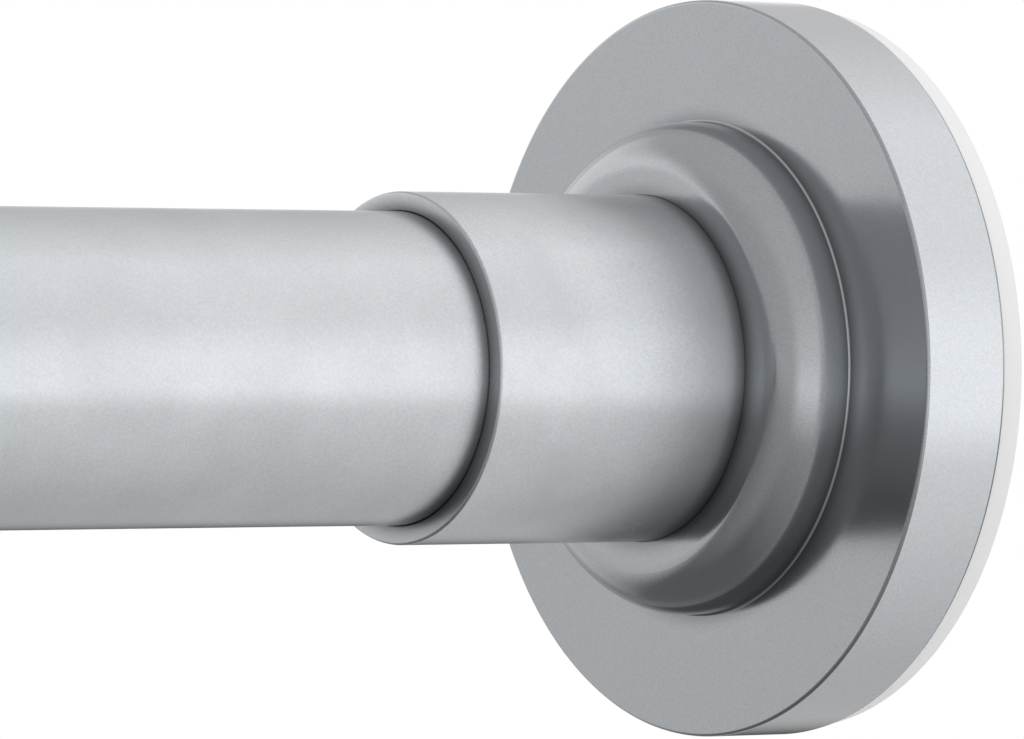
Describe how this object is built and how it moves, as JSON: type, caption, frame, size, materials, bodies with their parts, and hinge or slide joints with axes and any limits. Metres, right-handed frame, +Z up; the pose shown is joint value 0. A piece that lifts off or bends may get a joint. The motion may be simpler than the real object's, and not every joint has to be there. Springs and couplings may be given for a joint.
{
  "type": "extendable curtain rod",
  "caption": "Telescopic spring tension curtain rod in satin silver, with a sleeve, a crowned round flange and a rubber pad at each end.",
  "frame": {"origin": "centre of the wall face of the first pad, where the rod presses on its wall", "axes": "+X along the rod and out into the first wall, +Z up; the rod runs from the origin to -X"},
  "size_m": [0.4064, 0.061, 0.061],
  "materials": {
    "coated_steel": "satin",
    "coated_moulding": "satin",
    "pad_rubber": "matte",
    "guide_plastic": "satin",
    "lock_plastic": "satin",
    "zinc_plated_steel": "satin",
    "spindle_steel": "satin",
    "spring_steel": "satin"
  },
  "bodies": {
    "outer_rod": {"outer_tube": "coated_steel", "outer_tube_bush": "guide_plastic", "fixed_end_flange": "coated_moulding", "fixed_end_sleeve": "coated_moulding", "fixed_end_pad": "pad_rubber", "fixed_end_plug": "guide_plastic", "fixed_end_screw": "zinc_plated_steel", "fixed_end_washer": "zinc_plated_steel"},
    "lock_grip": {"lock_ring": "lock_plastic"},
    "lock_spindle": {"spindle": "spindle_steel", "lock_core": "lock_plastic", "lock_washer": "zinc_plated_steel", "lock_nut": "zinc_plated_steel", "spring_pusher": "spindle_steel", "pusher_pin": "spindle_steel"},
    "inner_rod": {"inner_tube": "coated_steel", "guide_plug": "guide_plastic", "spring_stop": "guide_plastic", "tension_spring": "spring_steel", "moving_end_flange": "coated_moulding", "moving_end_sleeve": "coated_moulding", "moving_end_reducer": "guide_plastic", "moving_end_pad": "pad_rubber", "moving_end_plug": "guide_plastic", "moving_end_screw": "zinc_plated_steel", "moving_end_washer": "zinc_plated_steel"}
  },
  "joints": [
    {"name": "extension", "type": "slide", "parent": "outer_rod", "child": "lock_grip", "axis": [-1, 0, 0], "range_m": [0, 0.2032]},
    {"name": "twist_lock", "type": "hinge", "parent": "lock_grip", "child": "lock_spindle", "pos_m": [-0.04545, 0, 0], "axis": [-1, 0, 0], "range_deg": [-40, 40]},
    {"name": "spring_press", "type": "slide", "parent": "lock_spindle", "child": "inner_rod", "axis": [1, 0, 0], "range_m": [0, 0.02], "stiffness_N_per_m": 2500, "springref_m": -0.01, "deforming": ["tension_spring"]}
  ]
}
